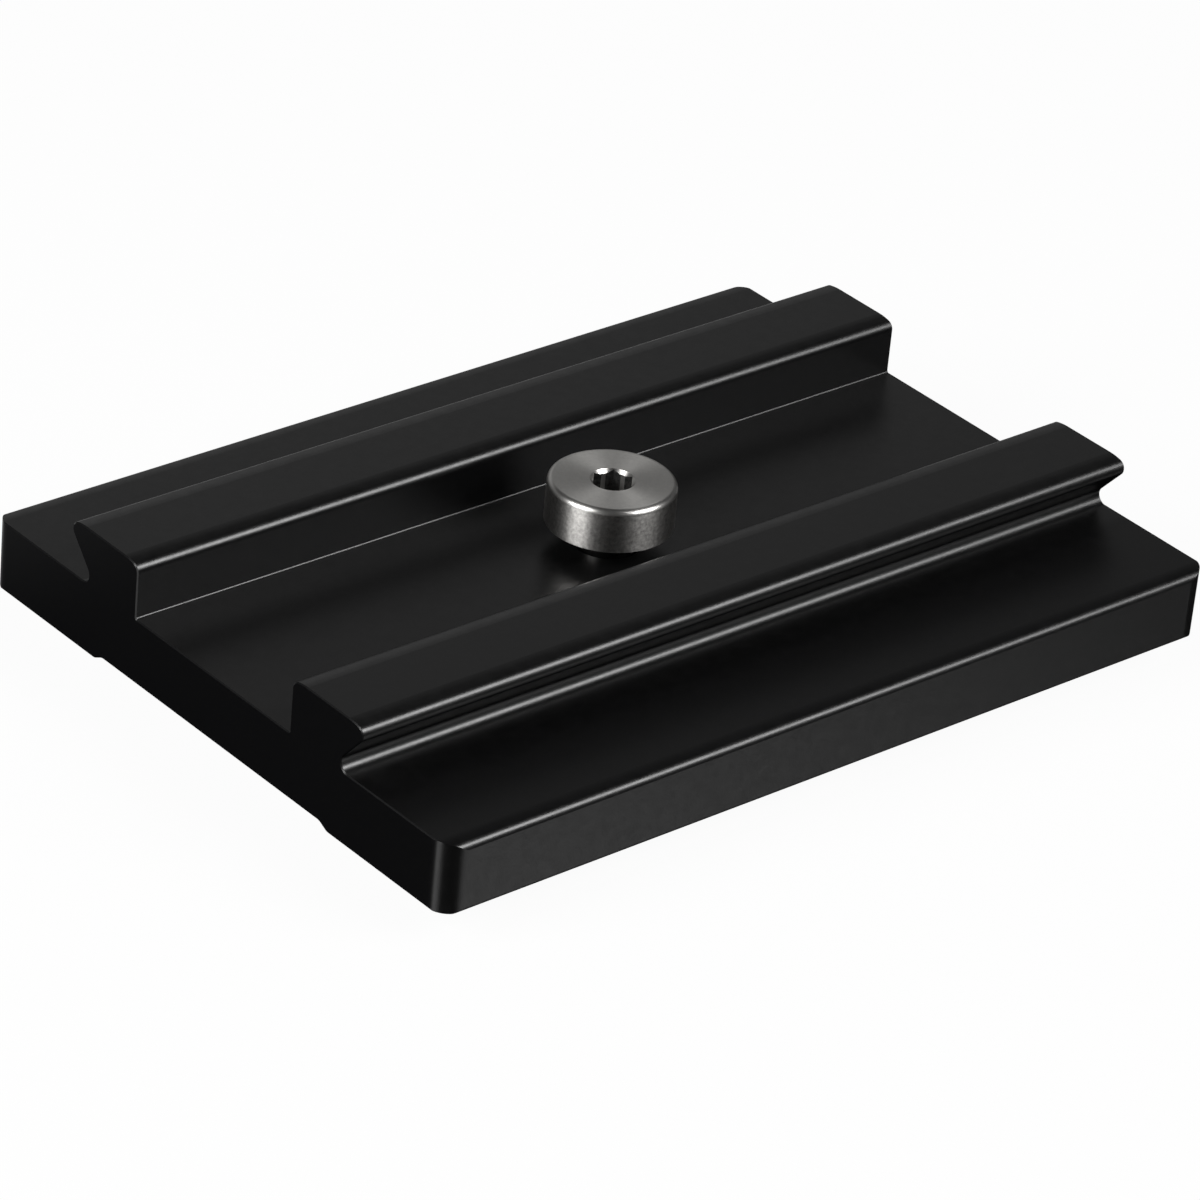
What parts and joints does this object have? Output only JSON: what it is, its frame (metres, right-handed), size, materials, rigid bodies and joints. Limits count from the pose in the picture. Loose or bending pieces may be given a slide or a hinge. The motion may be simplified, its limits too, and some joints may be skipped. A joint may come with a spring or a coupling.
{
  "type": "tripod quick release plate",
  "caption": "Flat metal plate with two dovetail rails for a tripod head's clamp and a captive hex socket screw that fastens it under a camera.",
  "frame": {"origin": "centre of the camera face, between its two lands, on the axis of the camera screw", "axes": "+X along the dovetail rails, +Y across them, +Z from the camera face to the rails"},
  "size_m": [0.0812, 0.06, 0.0151],
  "materials": {
    "black_anodised": "fine satin black anodising",
    "turned_stainless": "lathe turned, bare"
  },
  "bodies": {
    "plate": {"plate_body": "black_anodised"},
    "screw": {"camera_screw": "turned_stainless"}
  },
  "joints": [
    {"name": "screw_slide", "type": "slide", "parent": "plate", "child": "screw", "axis": [0, 0, 1], "range_m": [-0.00195, 0]}
  ]
}
